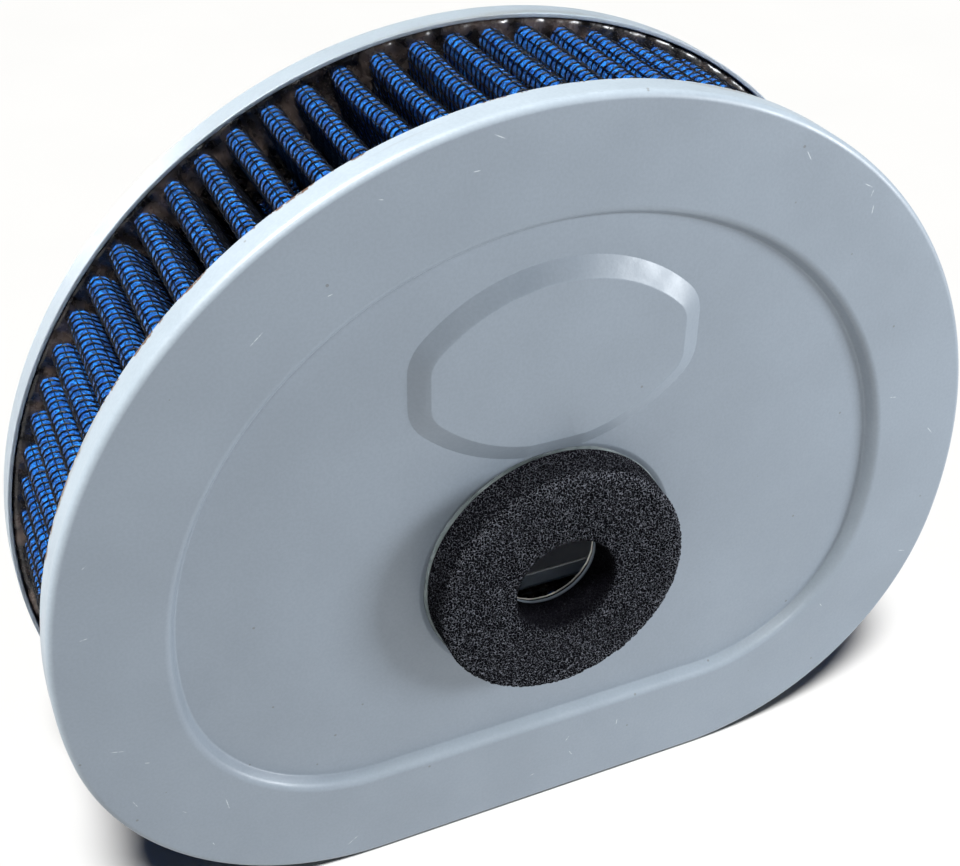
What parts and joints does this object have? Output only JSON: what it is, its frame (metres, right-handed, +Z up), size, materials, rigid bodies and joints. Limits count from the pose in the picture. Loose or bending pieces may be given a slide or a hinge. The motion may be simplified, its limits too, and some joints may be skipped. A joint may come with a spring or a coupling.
{
  "type": "air filter element",
  "caption": "D-shaped pleated air filter element: two stamped end caps, gauze pleats between wire mesh, bolt hole with a foam seal ring, open clean side at the back.",
  "frame": {"origin": "bottom centre of the bounding box: the point on the floor under the middle of the element as it stands on its flat side", "axes": "+Z up, from the flat side to the top of the arch; +Y from the front cap to the back cap; +X along the long axis, to the right as the front cap is looked at"},
  "size_m": [0.1888, 0.0552, 0.1584],
  "materials": {
    "cap_paint": "satin blue-grey paint",
    "potting": "glossy dark adhesive",
    "coated_wire": "glossy black epoxy coat",
    "gauze": "woven cotton, oiled",
    "foam": "open-cell foam",
    "gasket": "closed-cell foam rubber",
    "adhesive": "thin dried film"
  },
  "bodies": {
    "root": {"front_end_cap": "cap_paint", "back_end_cap": "cap_paint", "front_potting": "potting", "back_potting": "potting", "outer_wire_mesh": "coated_wire", "cotton_gauze": "gauze", "inner_wire_mesh": "coated_wire", "media_seam_bead": "potting", "foam_ring_adhesive": "adhesive", "foam_ring": "foam", "back_gasket_adhesive": "adhesive", "back_gasket": "gasket"}
  },
  "joints": []
}
